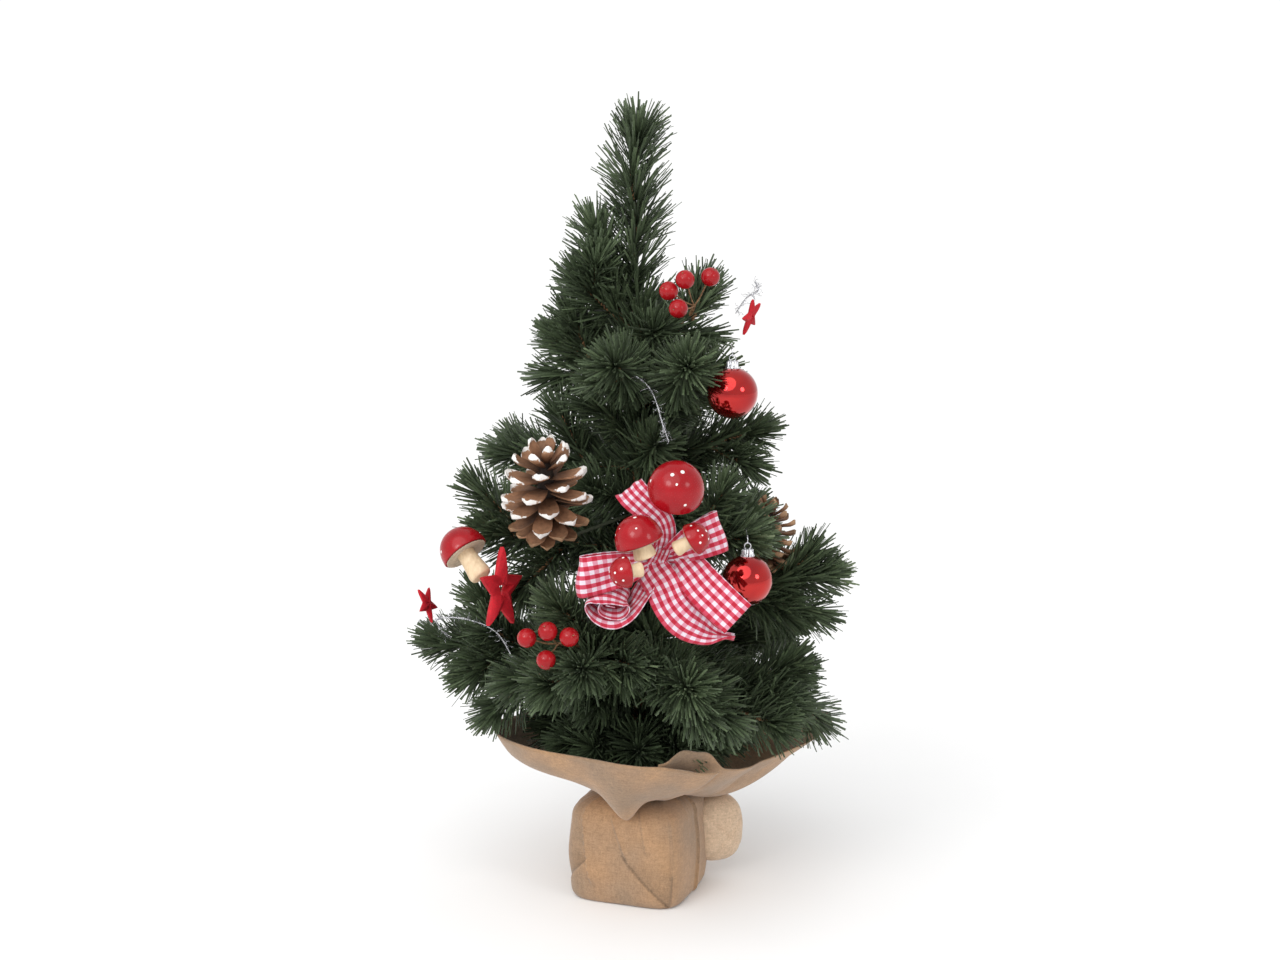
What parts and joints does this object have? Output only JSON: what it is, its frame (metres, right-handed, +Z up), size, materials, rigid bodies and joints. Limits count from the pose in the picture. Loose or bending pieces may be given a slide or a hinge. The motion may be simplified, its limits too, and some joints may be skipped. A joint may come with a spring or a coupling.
{
  "type": "artificial tabletop tree",
  "caption": "Small artificial tree on a cloth-wrapped weight, with bendable wire branches and red seasonal ornaments.",
  "frame": {"origin": "centre of the flat underside, on the trunk's axis", "axes": "+Z up along the trunk, -Y towards the front with the bow, +X to the viewer's right"},
  "size_m": [0.2584, 0.2523, 0.4504],
  "materials": {
    "cement": "rough cast",
    "jute_cloth": "nonwoven tan cloth, matt",
    "cord": "twisted cord",
    "stem_wire": "brown twisted wire",
    "green_needles": "dark green film needles, satin",
    "red_lacquer": "glossy red lacquer",
    "red_chrome": "red metallised gloss",
    "red_felt": "flocked red, matt",
    "pale_wood": "turned pale wood, satin",
    "cone_scales": "dry cone scales with white-painted tips",
    "gingham": "red and white checked ribbon",
    "silver_wire": "bright thin metal"
  },
  "bodies": {
    "trunk": {"trunk_wire": "stem_wire", "base_weight": "cement", "burlap_wrap": "jute_cloth", "neck_tie": "cord"},
    "leader": {"leader": "green_needles"},
    "branch_6_left": {"branch_6_left": "green_needles"},
    "branch_6_right": {"branch_6_right": "green_needles", "berry_upper_wire": "stem_wire", "berry_upper_1": "red_lacquer", "berry_upper_2": "red_lacquer", "berry_upper_3": "red_lacquer", "berry_upper_4": "red_lacquer", "garland_wire_right": "silver_wire", "star_small_right": "red_felt"},
    "branch_5_back": {"branch_5_back": "green_needles"},
    "branch_5_left": {"branch_5_left": "green_needles"},
    "branch_5_front": {"branch_5_front": "green_needles"},
    "branch_5_right": {"branch_5_right": "green_needles"},
    "branch_4_left": {"branch_4_left": "green_needles"},
    "branch_4_right": {"branch_4_right": "green_needles"},
    "branch_4_back": {"branch_4_back": "green_needles"},
    "branch_3_left": {"branch_3_left": "green_needles", "mushroom_side_cap": "red_lacquer", "mushroom_side_stem": "pale_wood", "star_large": "red_felt"},
    "branch_3_right": {"branch_3_right": "green_needles"},
    "branch_3_back_right": {"branch_3_back_right": "green_needles"},
    "branch_3_back_left": {"branch_3_back_left": "green_needles"},
    "branch_2_left": {"branch_2_left": "green_needles", "garland_wire_left": "silver_wire", "star_small_left": "red_felt"},
    "branch_2_right": {"branch_2_right": "green_needles", "pinecone_rear": "cone_scales"},
    "branch_2_front_left": {"branch_2_front_left": "green_needles", "berry_lower_wire": "stem_wire", "berry_lower_1": "red_lacquer", "berry_lower_2": "red_lacquer", "berry_lower_3": "red_lacquer", "berry_lower_4": "red_lacquer"},
    "branch_2_front_right": {"branch_2_front_right": "green_needles"},
    "branch_1_right": {"branch_1_right": "green_needles"},
    "branch_1_back_right": {"branch_1_back_right": "green_needles"},
    "branch_1_back_left": {"branch_1_back_left": "green_needles"},
    "bow_pick": {"bow_pick_wire": "stem_wire", "bow_ribbon_loops": "gingham", "bow_ribbon_tails": "gingham", "bow_mushroom_large_cap": "red_lacquer", "bow_mushroom_large_stem": "pale_wood", "bow_mushroom_medium_cap": "red_lacquer", "bow_mushroom_medium_stem": "pale_wood", "bow_mushroom_right_cap": "red_lacquer", "bow_mushroom_right_stem": "pale_wood", "bow_mushroom_left_cap": "red_lacquer", "bow_mushroom_left_stem": "pale_wood"},
    "pinecone_front": {"pinecone_front_wire": "stem_wire", "pinecone_front": "cone_scales"},
    "bauble_upper": {"bauble_upper_ball": "red_chrome", "bauble_upper_cap": "silver_wire"},
    "bauble_lower": {"bauble_lower_ball": "red_chrome", "bauble_lower_cap": "silver_wire"}
  },
  "joints": [
    {"name": "leader_bend", "type": "hinge", "parent": "trunk", "child": "leader", "pos_m": [0, 0, 0.3383], "axis": [0, 1, 0], "range_deg": [-12, 12]},
    {"name": "bend_6_left", "type": "hinge", "parent": "trunk", "child": "branch_6_left", "pos_m": [-0.00609, -0.00163, 0.326], "axis": [-0.2588, 0.9659, 0], "range_deg": [-20, 14]},
    {"name": "bend_6_right", "type": "hinge", "parent": "trunk", "child": "branch_6_right", "pos_m": [0.00566, -0.00276, 0.317], "axis": [-0.4384, -0.8988, 0], "range_deg": [-20, 30]},
    {"name": "bend_5_back", "type": "hinge", "parent": "trunk", "child": "branch_5_back", "pos_m": [0.00022, 0.0063, 0.3], "axis": [0.9994, -0.0349, 0], "range_deg": [-20, 30]},
    {"name": "bend_5_left", "type": "hinge", "parent": "trunk", "child": "branch_5_left", "pos_m": [-0.00628, -0.00044, 0.292], "axis": [-0.0698, 0.9976, 0], "range_deg": [-20, 20]},
    {"name": "bend_5_front", "type": "hinge", "parent": "trunk", "child": "branch_5_front", "pos_m": [-0.00152, -0.00611, 0.29], "axis": [-0.9703, 0.2419, 0], "range_deg": [-20, 30]},
    {"name": "bend_5_right", "type": "hinge", "parent": "trunk", "child": "branch_5_right", "pos_m": [0.00468, -0.00422, 0.282], "axis": [-0.6691, -0.7431, 0], "range_deg": [-20, 20]},
    {"name": "bend_4_left", "type": "hinge", "parent": "trunk", "child": "branch_4_left", "pos_m": [-0.0063, 0, 0.246], "axis": [0, 1, 0], "range_deg": [-20, 35]},
    {"name": "bend_4_right", "type": "hinge", "parent": "trunk", "child": "branch_4_right", "pos_m": [0.00624, -0.00088, 0.25], "axis": [-0.1392, -0.9903, 0], "range_deg": [-20, 35]},
    {"name": "bend_4_back", "type": "hinge", "parent": "trunk", "child": "branch_4_back", "pos_m": [0.00044, 0.00628, 0.24], "axis": [0.9976, -0.0698, 0], "range_deg": [-20, 35]},
    {"name": "bend_3_left", "type": "hinge", "parent": "trunk", "child": "branch_3_left", "pos_m": [-0.00556, -0.00296, 0.2], "axis": [-0.4695, 0.8829, 0], "range_deg": [-18, 10]},
    {"name": "bend_3_right", "type": "hinge", "parent": "trunk", "child": "branch_3_right", "pos_m": [0.00483, -0.00405, 0.203], "axis": [-0.6428, -0.766, 0], "range_deg": [-18, 35]},
    {"name": "bend_3_back_right", "type": "hinge", "parent": "trunk", "child": "branch_3_back_right", "pos_m": [0.00468, 0.00422, 0.196], "axis": [0.6691, -0.7431, 0], "range_deg": [-18, 28]},
    {"name": "bend_3_back_left", "type": "hinge", "parent": "trunk", "child": "branch_3_back_left", "pos_m": [-0.00483, 0.00405, 0.198], "axis": [0.6428, 0.766, 0], "range_deg": [-18, 20]},
    {"name": "bend_2_left", "type": "hinge", "parent": "trunk", "child": "branch_2_left", "pos_m": [-0.00629, 0.00033, 0.136], "axis": [0.0523, 0.9986, 0], "range_deg": [-10, 30]},
    {"name": "bend_2_right", "type": "hinge", "parent": "trunk", "child": "branch_2_right", "pos_m": [0.0063, -0.00022, 0.16], "axis": [-0.0349, -0.9994, 0], "range_deg": [-15, 22]},
    {"name": "bend_2_front_left", "type": "hinge", "parent": "trunk", "child": "branch_2_front_left", "pos_m": [-0.00184, -0.00602, 0.148], "axis": [-0.9563, 0.2924, 0], "range_deg": [-10, 8]},
    {"name": "bend_2_front_right", "type": "hinge", "parent": "trunk", "child": "branch_2_front_right", "pos_m": [0.00152, -0.00611, 0.138], "axis": [-0.9703, -0.2419, 0], "range_deg": [-10, 3]},
    {"name": "bend_1_right", "type": "hinge", "parent": "trunk", "child": "branch_1_right", "pos_m": [0.0062, -0.00109, 0.114], "axis": [-0.1736, -0.9848, 0], "range_deg": [-6, 25]},
    {"name": "bend_1_back_right", "type": "hinge", "parent": "trunk", "child": "branch_1_back_right", "pos_m": [0.00422, 0.00468, 0.126], "axis": [0.7431, -0.6691, 0], "range_deg": [-8, 30]},
    {"name": "bend_1_back_left", "type": "hinge", "parent": "trunk", "child": "branch_1_back_left", "pos_m": [-0.00334, 0.00534, 0.122], "axis": [0.848, 0.5299, 0], "range_deg": [-8, 30]},
    {"name": "bow_pick_bend", "type": "hinge", "parent": "trunk", "child": "bow_pick", "pos_m": [0.00066, -0.00626, 0.206], "axis": [-0.9945, -0.1045, 0], "range_deg": [-2, 6]},
    {"name": "pinecone_front_bend", "type": "hinge", "parent": "trunk", "child": "pinecone_front", "pos_m": [-0.00315, -0.00546, 0.222], "axis": [-0.866, 0.5, 0], "range_deg": [-8, 10]},
    {"name": "bauble_upper_swing", "type": "hinge", "parent": "branch_5_right", "child": "bauble_upper", "pos_m": [0.0484, -0.06168, 0.31567], "axis": [-0.6691, -0.7431, 0], "range_deg": [-15, 15]},
    {"name": "bauble_lower_swing", "type": "hinge", "parent": "branch_3_right", "child": "bauble_lower", "pos_m": [0.05669, -0.07046, 0.21724], "axis": [-0.6428, -0.766, 0], "range_deg": [-15, 15]}
  ]
}
